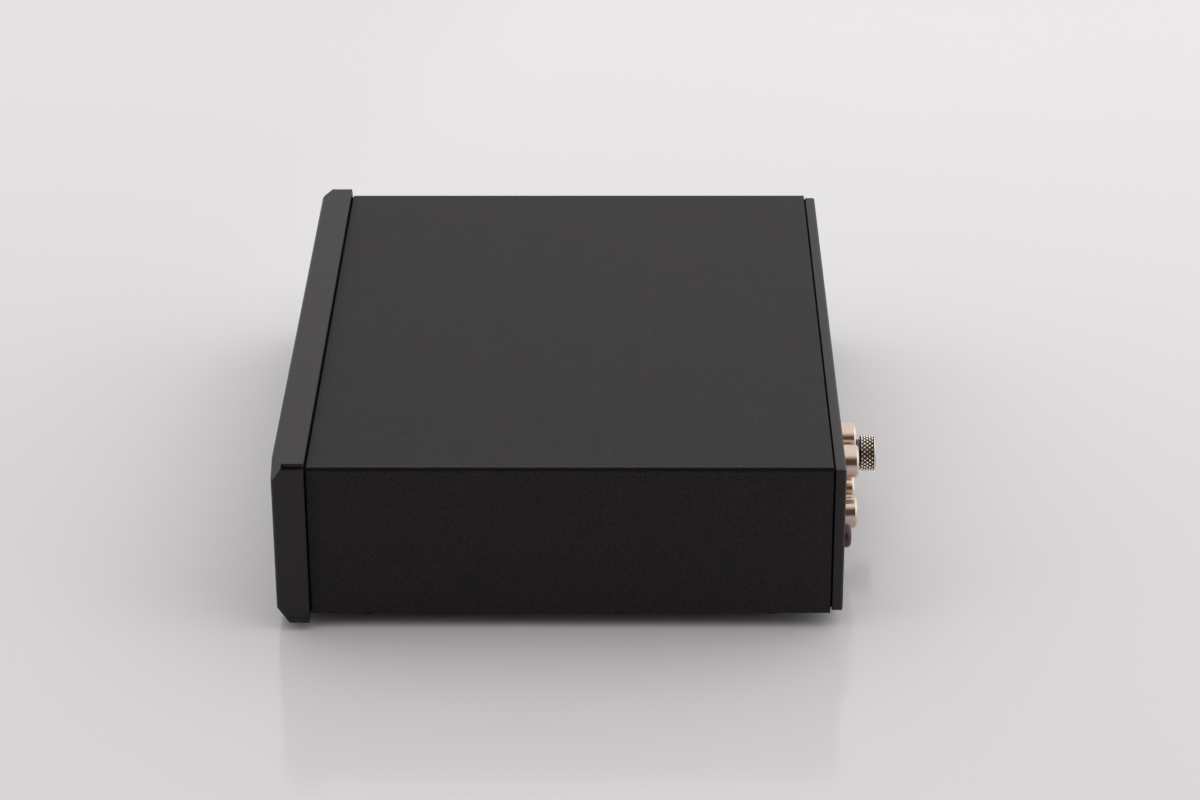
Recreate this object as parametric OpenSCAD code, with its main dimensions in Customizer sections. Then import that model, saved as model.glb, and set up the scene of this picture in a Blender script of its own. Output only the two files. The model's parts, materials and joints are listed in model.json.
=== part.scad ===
// Phono preamplifier in a folded sheet-steel case.
// X runs to the right as seen from the front, Y from the front face to the rear, Z up.
// The origin lies on the resting surface, under the middle of the whole outline.

/* [Cover] */
// Outside width of the cover
cover_w = 167; // [150:0.5:220]
// Outside height of the cover
cover_h = 39.9; // [38:0.1:60]
// Length of the cover that shows behind the front panel
cover_l = 126.7; // [116:0.1:200]
// Thickness of the cover's sheet
cover_t = 0.8; // [0.6:0.1:1.2]
// Inside radius of the cover's bends
cover_bend_r = 0.3; // [0.1:0.1:1]
// Width of the lips folded in under the case
lip_w = 11; // [8:0.5:14]
// Length of the cover that slides into the front panel
cover_insert = 5; // [3:0.1:6]
// Width of the groove that shows behind the front panel
groove_w = 0.5; // [0.2:0.1:1]
// Depth of the groove behind the front panel
groove_t = 0.4; // [0.1:0.05:0.5]
// Height of the cover above the resting surface
case_lift = 3.9; // [3:0.1:12]

/* [Front panel] */
// Depth of the front panel, from its face to its rear rim
front_d = 7.9; // [7:0.1:14]
// Thickness of the front panel's sheet
front_t = 1.2; // [1:0.1:1.6]
// Gap between the cover and the inside of the front panel
front_gap = 0.3; // [0.1:0.05:0.6]
// Outside radius of the folded front edges
front_edge_r = 0.9; // [0.3:0.1:1]
// Reach of the corner facets along the top and bottom edges
facet_x = 7.1; // [5:0.1:9]
// Reach of the corner facets along the side edges
facet_z = 4.5; // [4:0.1:7]
// Reach of the corner facets to the rear
facet_y = 3; // [2.5:0.1:3.4]
// Distance from the front face to the end of the corner notches
notch_y = 2.6; // [2:0.1:3.5]
// Play between the folded flanges where they meet at a corner
flange_play = 0.1; // [0.05:0.05:0.3]
// Diameter of the welded studs behind the front panel
stud_d = 3; // [2.5:0.5:4]
// Length of the welded studs
stud_l = 6; // [5:0.5:8]
// Distance of the welded studs from the middle
stud_x = 60; // [40:1:66]

/* [Chassis] */
// Thickness of the chassis sheet
chassis_t = 1; // [0.8:0.1:1.5]
// Inside radius of the chassis bends
chassis_bend_r = 0.3; // [0.1:0.1:1]
// Gap between the chassis and the start of the cover's bends at each side
chassis_gap = 0.1; // [0.05:0.05:0.2]
// Gap between the top of the chassis walls and the cover
wall_gap = 0.2; // [0.1:0.05:0.4]
// Setback of the front wall's ends from the chassis sides
front_wall_setback = 8; // [7:0.5:14]
// Depth of the cut-outs beside the front wall
front_relief_y = 4; // [3:0.5:8]

/* [Rear panel] */
// Distance from the end of the cover to the rear face
rear_d = 3.05; // [2.6:0.05:6]
// Width of the seam between the cover and the rear panel
seam_gap = 0.35; // [0.2:0.05:0.6]
// Inset of the rear panel from the outside of the cover
rear_inset = 0.6; // [0.4:0.05:0.9]
// Thickness of the rear panel's sheet
rear_t = 0.8; // [0.7:0.1:1.2]
// Outside radius of the rear panel's edges
rear_edge_r = 0.8; // [0.3:0.1:1.2]
// Diameter of the rear screws' heads
rear_head_d = 5.9; // [5.5:0.1:6.2]
// Height of the rear screws' heads
rear_head_h = 1.9; // [1.5:0.1:2.4]
// Distance of the rear screws from the side of the cover
rear_screw_edge = 7.5; // [6.5:0.1:9]
// Height of the rear screws above the cover's underside
rear_screw_rise = 17.9; // [14:0.1:26]
// Outside diameter of the clinch nuts that take the rear screws
clinch_d = 6; // [5:0.5:7]

/* [Fasteners] */
// Thread diameter of the case and board screws
screw_d = 3; // [2.5:0.5:3]
// Head diameter of the case and board screws
head_d = 5.6; // [5:0.1:6.4]
// Head height of the case and board screws
head_h = 1.8; // [1.2:0.1:2.4]
// Radial clearance of a screw in a plain hole
hole_play = 0.2; // [0.1:0.05:0.4]
// Radial clearance of a thread in its nut
thread_play = 0.05; // [0.02:0.01:0.09]
// Length of the cover screws under the head
cover_screw_l = 3.8; // [3:0.1:4.4]

/* [Feet] */
// Diameter of a foot
foot_d = 12.6; // [9:0.1:14]
// Bevel round the bottom of a foot
foot_bevel = 0.9; // [0.3:0.1:1.5]
// Gap between a foot and the cover's lip
foot_lip_gap = 1.2; // [0.5:0.1:6]
// Distance of the feet's middles from the ends of the cover
foot_end = 14; // [12:0.5:30]

/* [Circuit board] */
// Thickness of the circuit board
board_t = 1.6; // [1.2:0.1:2]
// Height of the standoffs under the board
standoff_h = 3; // [2.5:0.1:4]
// Outside diameter of the standoffs
standoff_d = 6; // [5:0.1:7]
// Gap between the board and the cover at each side
board_side = 5; // [4:0.5:8]
// Gap between the board and the rear wall
board_rear = 0.8; // [0.5:0.1:1.5]
// Gap between the board and the front wall
board_front = 12; // [11:0.5:16]
// Distance of the board's screws from its edges
board_hole_edge = 7.5; // [5:0.5:9]

/* [Phono sockets] */
// Outside diameter of a socket's shell
jack_d = 8.2; // [8:0.1:8.4]
// Inside diameter of a socket's shell
jack_bore = 6.8; // [6.5:0.1:7]
// Bevel on a shell's open rim
jack_bevel = 0.5; // [0.2:0.05:0.6]
// Distance between the two columns of sockets
jack_pitch_x = 12.4; // [12:0.1:16]
// Distance between the two rows of sockets
jack_pitch_z = 14.1; // [13:0.1:15.5]
// Reach of the shells beyond the rear face
jack_reach = 4.7; // [4.7:0.1:9]
// Distance of the outer column from the side of the cover
jack_edge = 30.3; // [26:0.1:36]
// Height of the lower row above the board
jack_rise = 5.9; // [5.5:0.1:6.5]
// Diameter of the collars round the shells
collar_d = 10; // [9.4:0.1:10.6]
// Setback of the collars from the rear face
collar_setback = 0.3; // [0.1:0.05:0.5]
// Depth of the socket block in front of the rear wall
block_depth = 12; // [10:0.5:15]
// Width of the socket block beyond the sockets' axes
block_margin = 7; // [6:0.1:9]
// Inside diameter of a centre contact
contact_bore = 3.3; // [3.2:0.1:3.4]
// Outside diameter of a centre contact
contact_d = 4.4; // [4:0.1:5]
// Reach of the centre contacts into the socket block
contact_depth = 5; // [3:0.5:8]
// Length of the narrow mouth that grips a plug's pin
contact_grip = 3.4; // [2.5:0.1:3.4]
// Setback of the insulators from the shells' rims
insulator_setback = 0.6; // [0.3:0.1:1.5]
// Thickness of the insulators' lips over the contacts
insulator_lip = 0.6; // [0.4:0.1:1]

/* [Ground terminal] */
// Distance of the ground terminal from the side of the cover
ground_edge = 57.9; // [54:0.1:64]
// Height of the ground terminal above the board
ground_rise = 8.1; // [7:0.1:14]
// Diameter of the knurled thumb nut
knob_d = 9.1; // [8:0.1:11]
// Length of the knurled thumb nut
knob_l = 3.9; // [3.5:0.1:3.9]
// Reach of the thumb nut beyond the rear face
knob_reach = 10.9; // [10.9:0.05:13]
// Bevel at the ends of the thumb nut
knob_bevel = 0.35; // [0.1:0.05:0.6]
// Diameter of the ground terminal's thread
thread_d = 4; // [3.5:0.1:5]
// Diameter of the clamp washer in front of the thumb nut
washer_d = 7; // [6:0.1:8]
// Thickness of the clamp washer
washer_t = 0.95; // [0.6:0.05:1.2]
// Play between the clamp washer and the thumb nut
washer_play = 0.05; // [0.02:0.01:0.1]
// Diameter of the post's neck
post_d = 5.5; // [5.2:0.1:6]
// Reach of the post's neck beyond the rear face
post_reach = 4.4; // [3:0.1:4.4]
// Diameter of the post's flange
post_flange_d = 8; // [7:0.1:9]
// Thickness of the post's flange
post_flange_t = 0.9; // [0.6:0.1:1.4]
// Setback of the stud's end in the thumb nut
stud_setback = 0.5; // [0.2:0.1:1]
// Width across the corners of the ground nut
ground_nut_d = 8; // [7:0.1:9]
// Thickness of the ground nut
ground_nut_t = 3.2; // [2.4:0.1:3.6]
// Thickness of the solder lug
lug_t = 0.8; // [0.5:0.1:1.2]
// Length of the solder lug's tongue
lug_l = 9; // [7:0.5:12]
// Diameter of the ground wire
wire_d = 1.5; // [1:0.1:2]

/* [Power inlet] */
// Distance of the power inlet from the side of the cover
inlet_edge = 28.5; // [22:0.1:36]
// Height of the inlet's axis above the board
inlet_rise = 6.5; // [6.5:0.1:9]
// Diameter of the inlet's opening
inlet_bore = 6.3; // [6:0.1:6.6]
// Outside diameter of the inlet's nose
inlet_nose_d = 8.6; // [8:0.1:9.4]
// Depth of the inlet's opening
inlet_depth = 9.5; // [9:0.1:12]
// Diameter of the inlet's centre pin
pin_d = 2; // [1.6:0.1:2.5]
// Setback of the inlet's nose and of the switch's slider from the rear face
flush_setback = 0.3; // [0.1:0.05:0.6]
// Width of the inlet's body
inlet_w = 9.4; // [9.4:0.1:12]
// Length of the inlet's body in front of the rear wall
inlet_l = 12; // [10:0.5:15]

/* [Mode switch] */
// Distance of the mode switch from the side of the cover
switch_edge = 58; // [50:0.5:66]
// Height of the switch above the board
switch_rise = 4.4; // [4.2:0.1:8]
// Travel of the slider
switch_travel = 4; // [2:0.1:4.5]
// Width of the slider's finger piece
slider_w = 3.4; // [3:0.1:4.5]
// Height of the slider's finger piece
slider_h = 3.6; // [2.5:0.1:4]
// Running gap round the slider
slider_play = 0.2; // [0.1:0.05:0.3]

/* [Indicator] */
// Diameter of the light guide
guide_d = 3; // [2:0.1:4]
// Diameter of the indicator's lamp
lamp_d = 3; // [2.5:0.1:4]

/* [Hidden] */
$fn = 64;

// Finish colours
satin_black = [0.10, 0.10, 0.105];
textured_black = [0.13, 0.125, 0.13];
screw_black = [0.10, 0.07, 0.09];
zinc = [0.62, 0.62, 0.60];
gold = [0.80, 0.68, 0.50];
nickel = [0.70, 0.66, 0.60];
plastic_black = [0.05, 0.05, 0.05];
rubber_black = [0.04, 0.04, 0.04];
board_green = [0.05, 0.24, 0.13];

// A sliver that makes joined shapes one, and the length by which a cut runs past a surface
eps = 0.01;
past = 1;

// Cover and chassis, from front to rear and from the underside up
front_proud = front_t + front_gap;
total_d = front_d + cover_l + rear_d + knob_reach;
front_y = -total_d / 2;
seam_y = front_y + front_d;
cover_end_y = seam_y + cover_l;
rear_y = cover_end_y + rear_d;
cover_x = cover_w / 2;
cover_z0 = case_lift;
cover_z1 = case_lift + cover_h;
mid_z = case_lift + cover_h / 2;
inner_x = cover_x - cover_t;
chassis_x = inner_x - cover_bend_r - chassis_gap;
chassis_z0 = cover_z0 + cover_t;
chassis_z1 = cover_z1 - cover_t - wall_gap;
plate_z = chassis_z0 + chassis_t;
front_wall_y = front_y + front_t;
rear_wall_y = cover_end_y + seam_gap;
wall_inside_y = rear_wall_y - chassis_t;

// Front panel
front_x = cover_x + front_proud;
front_z0 = cover_z0 - front_proud;
front_z1 = cover_z1 + front_proud;
notch = front_t + flange_play;
stud_end_y = front_wall_y + stud_l;
nut_y = front_wall_y + chassis_t;
nut_t = 2.4;
nut_corner_d = 2.1 * stud_d;

// Rear panel
rear_x = cover_x - rear_inset;
rear_z0 = cover_z0 + rear_inset;
rear_z1 = cover_z1 - rear_inset;
rear_hollow = rear_d - seam_gap - rear_t;
rear_screw_x = cover_x - rear_screw_edge;
rear_screw_z = cover_z0 + rear_screw_rise;
rear_screw_spare = 1.5;
rear_screw_l = rear_t + rear_hollow + chassis_t + rear_screw_spare;
clinch_shank_d = clinch_d - 1;

// Feet and underside screws
foot_x = cover_x - lip_w - foot_lip_gap - foot_d / 2;
foot_ys = [seam_y + foot_end, cover_end_y - foot_end];
cover_screw_x = cover_x - lip_w / 2;
cover_screw_ys = foot_ys;

// Circuit board
board_x = cover_x - board_side;
board_z0 = plate_z + standoff_h;
board_top = board_z0 + board_t;
board_y0 = front_wall_y + chassis_t + board_front;
board_y1 = wall_inside_y - board_rear;
board_hole_x = board_x - board_hole_edge;
board_hole_ys = [board_y0 + board_hole_edge, board_y1 - board_hole_edge];

// Phono sockets
jack_x1 = cover_x - jack_edge;
jack_x0 = jack_x1 - jack_pitch_x;
jack_z0 = board_top + jack_rise;
jack_z1 = jack_z0 + jack_pitch_z;
jack_end_y = rear_y + jack_reach;
collar_y = rear_y - collar_setback;
root_play = 0.05;
root_step = 0.4;
root_d = jack_d - root_step;
contact_mouth = 0.4;
contact_relief = 0.4;
contact_y = wall_inside_y - contact_depth;
insulator_end_y = jack_end_y - insulator_setback;
contact_end_y = insulator_end_y - insulator_lip;
block_top = 7.4;
block_z1 = jack_z1 + block_top;

// Ground terminal
ground_x = cover_x - ground_edge;
ground_z = board_top + ground_rise;
knob_y = rear_y + knob_reach - knob_l;
washer_y = knob_y - washer_play - washer_t;
stud_tip_y = rear_y + knob_reach - stud_setback;
post_tail = 0.6;
post_tail_y = wall_inside_y - lug_t - ground_nut_t - post_tail;

// Power inlet, mode switch and indicator
inlet_x = inlet_edge - cover_x;
inlet_z = board_top + inlet_rise;
flush_y = rear_y - flush_setback;
pin_setback = 0.8;
switch_x = switch_edge - cover_x;
switch_z = board_top + switch_rise;
slider_rim_x = 1.6;
slider_rim_z = 0.7;
slider_base_w = slider_w + 2 * slider_rim_x;
slider_base_h = slider_h + 2 * slider_rim_z;
slider_base_t = 1.6;
switch_wall = 1;
switch_w = slider_base_w + switch_travel + 2 * (slider_play + switch_wall);
switch_depth = 5;
switch_h = slider_base_h + 2 * (slider_play + switch_wall);
slot_play = 0.45;
slot_w = slider_w + switch_travel + 2 * slot_play;
slot_h = slider_h + 2 * slot_play;
lamp_l = 4.4;
guide_rim = 1;
guide_flange_d = guide_d + 2 * guide_rim;
guide_flange_t = 1;
guide_end_y = front_wall_y + chassis_t + guide_flange_t;
lamp_gap = 0.3;
lamp_y = guide_end_y + lamp_gap;
lead_w = 0.5;
lead_edge = 1.5;

// Parts of the circuit: a column for each channel in front of the sockets, the supply in front of the inlet
channel_xs = [jack_x0 - 6, jack_x1 + 8];
amp_y = wall_inside_y - block_depth - 14;
amp_row = 26;
film_y = amp_y - amp_row - 9;
film_pitch = 5.2;
resistor_side = 14.5;
resistor_pitch = 4.2;
supply_x = inlet_x - 10;
supply_pitch = 12;
choke_y = wall_inside_y - inlet_l - 8;
supply_y = choke_y - 15;
supply_row = 13;
supply_can_d = 10;
supply_can_h = 16;
filter_can_d = 8;
filter_can_h = 12;
channel_can_d = 6.3;
channel_can_h = 11;
film_l = 7.2;
film_w = 3.2;
film_h = 7.4;
regulator_w = 10;
regulator_t = 4.5;
regulator_h = 9;
regulator_leg_h = 4;
regulator_leg_pitch = 2.54;
tab_t = 1.3;
tab_h = 6.4;
tab_hole_d = 3.6;

// ---- Shared shapes ----

// Rectangle with rounded corners
module rounded_rect(x0, x1, y0, y1, r) {
    translate([x0 + r, y0]) square([x1 - x0 - 2 * r, y1 - y0]);
    translate([x0, y0 + r]) square([x1 - x0, y1 - y0 - 2 * r]);
    for (x = [x0 + r, x1 - r], y = [y0 + r, y1 - r])
        translate([x, y]) circle(r);
}

// Box from one corner to the other
module box(low, high) {
    translate(low) cube(high - low);
}

// Profile drawn in X and Z, drawn out along Y
module along_y(y0, y1) {
    translate([0, y1, 0]) rotate([90, 0, 0]) linear_extrude(y1 - y0) children();
}

// Profile drawn in Y and Z, drawn out along X
module along_x(x0, x1) {
    translate([x0, 0, 0]) rotate([90, 0, 90]) linear_extrude(x1 - x0) children();
}

// Round bar along Y
module bar_y(x, z, y0, y1, d) {
    translate([x, y0, z]) rotate([-90, 0, 0]) cylinder(h = y1 - y0, d = d);
}

// Round tube along Y
module tube_y(x, z, y0, y1, d, bore) {
    difference() {
        bar_y(x, z, y0, y1, d);
        bar_y(x, z, y0 - past, y1 + past, bore);
    }
}

// Everything beyond a plane through a point, with the given outward direction
module beyond(point, outward, size) {
    tilt = acos(outward.z / norm(outward));
    turn = atan2(outward.y, outward.x);
    translate(point) rotate([0, tilt, turn]) translate([-size / 2, -size / 2, 0]) cube(size);
}

// Pan head screw standing on its seat at z = 0, shank downwards
module pan_screw(d, l, head_w, head_height) {
    rim_h = head_height * 0.4;
    crown_r = head_height - rim_h;
    recess_l = head_w * 0.5;
    recess_w = head_w * 0.13;
    recess_z = head_height * 0.45;
    difference() {
        union() {
            rotate_extrude() union() {
                square([head_w / 2 - crown_r, head_height]);
                square([head_w / 2, rim_h]);
                intersection() {
                    translate([head_w / 2 - crown_r, rim_h]) circle(crown_r);
                    square([head_w, head_height + past]);
                }
            }
            translate([0, 0, -l]) cylinder(h = l + eps, d = d);
        }
        for (turn = [0, 90])
            rotate(turn) translate([-recess_l / 2, -recess_w / 2, recess_z])
                cube([recess_l, recess_w, head_height]);
    }
}

// ---- Case ----

// Front block with rounded front edges and a facet on each front corner
module front_form(inset, rear_end) {
    x = front_x - inset;
    z0 = front_z0 + inset;
    z1 = front_z1 - inset;
    y = front_y + inset;
    r = max(front_edge_r - inset, eps);
    outward = [1 / facet_x, 1 / facet_y, 1 / facet_z];
    shift = inset * norm(outward);
    difference() {
        intersection() {
            along_x(-x, x) rounded_rect(y, rear_end + 2 * past, z0, z1, r);
            translate([0, 0, z0]) linear_extrude(z1 - z0) rounded_rect(-x, x, y, rear_end + 2 * past, r);
            box([-x, y, z0], [x, rear_end, z1]);
        }
        for (side = [-1, 1], up = [-1, 1]) {
            corner_z = up > 0 ? front_z1 : front_z0;
            point = [side * front_x, front_y + facet_y * (1 + shift), corner_z];
            direction = [side * outward.x, -outward.y, up * outward.z];
            beyond(point, direction, 4 * facet_x);
        }
    }
}

module front_panel() {
    color(satin_black) {
        difference() {
            front_form(0, seam_y);
            front_form(front_t, seam_y + past);
            for (side = [-1, 1]) {
                // The top flange stops short of the sides
                box([min(side * front_x, side * (front_x - notch)) - (side < 0 ? past : 0),
                     front_y + notch_y, front_z1 - notch],
                    [max(side * front_x, side * (front_x - notch)) + (side > 0 ? past : 0),
                     seam_y + past, front_z1 + past]);
                // The side flanges stand just clear of the bottom flange
                box([side > 0 ? front_x - front_t - eps : -front_x - past,
                     front_y + notch_y, front_z0 + front_t],
                    [side > 0 ? front_x + past : -front_x + front_t + eps,
                     seam_y + past, front_z0 + front_t + flange_play]);
            }
            bar_y(0, mid_z, front_y - past, front_wall_y + past, guide_d + 2 * thread_play);
        }
        for (side = [-1, 1])
            bar_y(side * stud_x, mid_z, front_wall_y - eps, stud_end_y, stud_d);
    }
}

module top_cover() {
    outer_r = cover_bend_r + cover_t;
    color(textured_black) difference() {
        along_y(seam_y - cover_insert, cover_end_y) difference() {
            rounded_rect(-cover_x, cover_x, cover_z0, cover_z1, outer_r);
            rounded_rect(-inner_x, inner_x, cover_z0 + cover_t, cover_z1 - cover_t, cover_bend_r);
            translate([lip_w - cover_x, cover_z0 - past])
                square([2 * (cover_x - lip_w), cover_t + 2 * past]);
        }
        // The groove starts under the front panel's flanges and shows behind them
        along_y(seam_y - cover_insert - past, seam_y + groove_w) difference() {
            rounded_rect(-cover_x - past, cover_x + past, cover_z0 - past, cover_z1 + past, outer_r);
            rounded_rect(groove_t - cover_x, cover_x - groove_t, cover_z0 + groove_t, cover_z1 - groove_t,
                outer_r - groove_t);
        }
        for (side = [-1, 1], y = cover_screw_ys)
            translate([side * cover_screw_x, y, cover_z0 - past])
                cylinder(h = cover_t + 2 * past, d = screw_d + 2 * hole_play);
    }
}

// Openings that the rear wall and the rear panel share, between two depths
module rear_openings(y0, y1) {
    for (x = [jack_x0, jack_x1], z = [jack_z0, jack_z1])
        bar_y(x, z, y0, y1, collar_d + 2 * hole_play);
    bar_y(ground_x, ground_z, y0, y1, thread_d + 2 * hole_play);
    bar_y(inlet_x, inlet_z, y0, y1, inlet_nose_d + 2 * hole_play);
    box([switch_x - slot_w / 2, y0, switch_z - slot_h / 2],
        [switch_x + slot_w / 2, y1, switch_z + slot_h / 2]);
}

module chassis() {
    outer_r = chassis_bend_r + chassis_t;
    blank_z1 = chassis_z1 + past + 2 * outer_r;
    wall_x = chassis_x - front_wall_setback;
    relief_y = front_wall_y + front_relief_y;
    color(satin_black) difference() {
        along_x(-chassis_x, chassis_x) difference() {
            rounded_rect(front_wall_y, rear_wall_y, chassis_z0, blank_z1, outer_r);
            rounded_rect(front_wall_y + chassis_t, wall_inside_y, plate_z, blank_z1, chassis_bend_r);
            translate([front_wall_y - past, chassis_z1])
                square([rear_wall_y - front_wall_y + 2 * past, cover_h]);
        }
        for (side = [-1, 1]) {
            low_x = side > 0 ? wall_x : -chassis_x - past;
            high_x = side > 0 ? chassis_x + past : -wall_x;
            box([low_x, front_wall_y - past, chassis_z0 - past], [high_x, relief_y, chassis_z1 + past]);
            bar_y(side * stud_x, mid_z, front_wall_y - past, nut_y + past, stud_d + 2 * hole_play);
            bar_y(side * rear_screw_x, rear_screw_z, wall_inside_y - past, rear_wall_y + past,
                  clinch_shank_d);
            for (y = cover_screw_ys)
                translate([side * cover_screw_x, y, chassis_z0 - past])
                    cylinder(h = chassis_t + 2 * past, d = screw_d + 2 * thread_play);
        }
        bar_y(0, mid_z, front_wall_y - past, nut_y + past, guide_d + 2 * thread_play);
        rear_openings(wall_inside_y - past, rear_wall_y + past);
    }
}

// Rear block with all its outer edges rounded
module rear_form(inset, y0, y1, r) {
    x = rear_x - inset;
    z0 = rear_z0 + inset;
    z1 = rear_z1 - inset;
    intersection() {
        along_y(y0, y1) rounded_rect(-x, x, z0, z1, r);
        along_x(-x, x) rounded_rect(y0 - 4 * r, y1, z0, z1, r);
        translate([0, 0, z0]) linear_extrude(z1 - z0) rounded_rect(-x, x, y0 - 4 * r, y1, r);
    }
}

module rear_panel() {
    inner_r = max(rear_edge_r - rear_t, 0.1);
    color(satin_black) difference() {
        rear_form(0, rear_wall_y, rear_y, rear_edge_r);
        rear_form(rear_t, rear_wall_y - past, rear_y - rear_t, inner_r);
        rear_openings(rear_y - rear_t - past, rear_y + past);
        for (side = [-1, 1])
            bar_y(side * rear_screw_x, rear_screw_z, rear_y - rear_t - past, rear_y + past,
                  screw_d + 2 * hole_play);
    }
}

module front_nuts() {
    color(zinc) for (side = [-1, 1]) difference() {
        translate([side * stud_x, nut_y, mid_z]) rotate([-90, 0, 0])
            cylinder(h = nut_t, d = nut_corner_d, $fn = 6);
        bar_y(side * stud_x, mid_z, nut_y - past, nut_y + nut_t + past, stud_d + 2 * thread_play);
    }
}

module rear_screws() {
    color(screw_black) for (side = [-1, 1])
        translate([side * rear_screw_x, rear_y, rear_screw_z]) rotate([-90, 0, 0])
            pan_screw(screw_d, rear_screw_l, rear_head_d, rear_head_h);
}

// Round nuts pressed into the rear wall, which also space the rear panel from it
module clinch_nuts() {
    bore = screw_d + 2 * thread_play;
    color(zinc) for (side = [-1, 1]) difference() {
        union() {
            bar_y(side * rear_screw_x, rear_screw_z, wall_inside_y, rear_wall_y + eps, clinch_shank_d);
            bar_y(side * rear_screw_x, rear_screw_z, rear_wall_y, rear_wall_y + rear_hollow, clinch_d);
        }
        bar_y(side * rear_screw_x, rear_screw_z, wall_inside_y - past, rear_y, bore);
    }
}

module cover_screws() {
    color(screw_black) for (side = [-1, 1], y = cover_screw_ys)
        translate([side * cover_screw_x, y, cover_z0]) rotate([180, 0, 0])
            pan_screw(screw_d, cover_screw_l, head_d, head_h);
}

module feet() {
    color(rubber_black) for (side = [-1, 1], y = foot_ys) translate([side * foot_x, y, 0]) rotate_extrude()
        polygon([
            [0, 0],
            [foot_d / 2 - foot_bevel, 0],
            [foot_d / 2, foot_bevel],
            [foot_d / 2, chassis_z0],
            [0, chassis_z0]
        ]);
}

// ---- Circuit board and its fixings ----

module circuit_board() {
    color(board_green) difference() {
        box([-board_x, board_y0, board_z0], [board_x, board_y1, board_top]);
        for (side = [-1, 1], y = board_hole_ys)
            translate([side * board_hole_x, y, board_z0 - past])
                cylinder(h = board_t + 2 * past, d = screw_d + 2 * hole_play);
    }
}

module board_standoffs() {
    color(zinc) for (side = [-1, 1], y = board_hole_ys)
        translate([side * board_hole_x, y, plate_z]) difference() {
            cylinder(h = standoff_h, d = standoff_d);
            translate([0, 0, -past]) cylinder(h = standoff_h + 2 * past, d = screw_d + 2 * thread_play);
        }
}

module board_screws() {
    length = board_t + standoff_h - 0.4;
    color(zinc) for (side = [-1, 1], y = board_hole_ys)
        translate([side * board_hole_x, y, board_top]) pan_screw(screw_d, length, head_d, head_h);
}

// ---- Phono sockets ----

module socket_block() {
    color(plastic_black) difference() {
        union() {
            box([jack_x0 - block_margin, wall_inside_y - block_depth, board_top],
                [jack_x1 + block_margin, wall_inside_y, block_z1]);
            for (x = [jack_x0, jack_x1], z = [jack_z0, jack_z1])
                bar_y(x, z, wall_inside_y - eps, collar_y, collar_d);
        }
        for (x = [jack_x0, jack_x1], z = [jack_z0, jack_z1]) {
            bar_y(x, z, wall_inside_y, collar_y + past, root_d + 2 * root_play);
            bar_y(x, z, contact_y, collar_y + past, contact_d + 2 * root_play);
        }
    }
}

module jack_shell(x, z) {
    color(gold) difference() {
        union() {
            bar_y(x, z, wall_inside_y, collar_y, root_d);
            bar_y(x, z, collar_y, jack_end_y - jack_bevel, jack_d);
            translate([x, jack_end_y - jack_bevel, z]) rotate([-90, 0, 0])
                cylinder(h = jack_bevel, d1 = jack_d, d2 = jack_d - 2 * jack_bevel);
        }
        bar_y(x, z, wall_inside_y - past, jack_end_y + past, jack_bore);
    }
}

module input_left_shell() { jack_shell(jack_x0, jack_z1); }
module input_right_shell() { jack_shell(jack_x0, jack_z0); }
module output_left_shell() { jack_shell(jack_x1, jack_z1); }
module output_right_shell() { jack_shell(jack_x1, jack_z0); }

// Insulator that fills a shell and holds the centre contact behind a lip
module jack_insulator(x, z) {
    difference() {
        bar_y(x, z, wall_inside_y, insulator_end_y, jack_bore - 2 * root_play);
        bar_y(x, z, wall_inside_y - past, contact_end_y, contact_d + 2 * root_play);
        bar_y(x, z, wall_inside_y - past, jack_end_y, contact_bore + contact_mouth);
    }
}

module left_insulators() {
    color("white") for (x = [jack_x0, jack_x1]) jack_insulator(x, jack_z1);
}

module right_insulators() {
    color("firebrick") for (x = [jack_x0, jack_x1]) jack_insulator(x, jack_z0);
}

// Sleeves that grip a plug's pin at the mouth and are wider behind it
module socket_contacts() {
    color(gold) for (x = [jack_x0, jack_x1], z = [jack_z0, jack_z1]) difference() {
        tube_y(x, z, contact_y, contact_end_y, contact_d, contact_bore);
        bar_y(x, z, contact_y - past, contact_end_y - contact_grip, contact_bore + contact_relief);
    }
}

// ---- Ground terminal ----

module ground_post() {
    color(nickel) union() {
        bar_y(ground_x, ground_z, post_tail_y, rear_y + eps, thread_d);
        bar_y(ground_x, ground_z, rear_y, rear_y + post_flange_t, post_flange_d);
        bar_y(ground_x, ground_z, rear_y, rear_y + post_reach, post_d);
        bar_y(ground_x, ground_z, rear_y, stud_tip_y, thread_d);
    }
}

module ground_spacer() {
    color(zinc)
        tube_y(ground_x, ground_z, rear_wall_y, rear_y - rear_t, post_flange_d, thread_d + 2 * thread_play);
}

module ground_washer() {
    edge = 0.25;
    color(nickel) translate([ground_x, washer_y, ground_z]) rotate([-90, 0, 0]) rotate_extrude()
        polygon([
            [thread_d / 2 + thread_play, 0],
            [washer_d / 2 - edge, 0],
            [washer_d / 2, edge],
            [washer_d / 2, washer_t],
            [thread_d / 2 + thread_play, washer_t]
        ]);
}

module ground_knob() {
    color(nickel) translate([ground_x, knob_y, ground_z]) rotate([-90, 0, 0]) rotate_extrude()
        polygon([
            [thread_d / 2 + thread_play, 0],
            [knob_d / 2 - knob_bevel, 0],
            [knob_d / 2, knob_bevel],
            [knob_d / 2, knob_l - knob_bevel],
            [knob_d / 2 - knob_bevel, knob_l],
            [thread_d / 2 + thread_play, knob_l]
        ]);
}

module ground_nut() {
    nut_end_y = wall_inside_y - lug_t;
    color(zinc) difference() {
        translate([ground_x, nut_end_y - ground_nut_t, ground_z]) rotate([-90, 0, 0])
            cylinder(h = ground_nut_t, d = ground_nut_d, $fn = 6);
        bar_y(ground_x, ground_z, nut_end_y - ground_nut_t - past, nut_end_y + past,
              thread_d + 2 * thread_play);
    }
}

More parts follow.
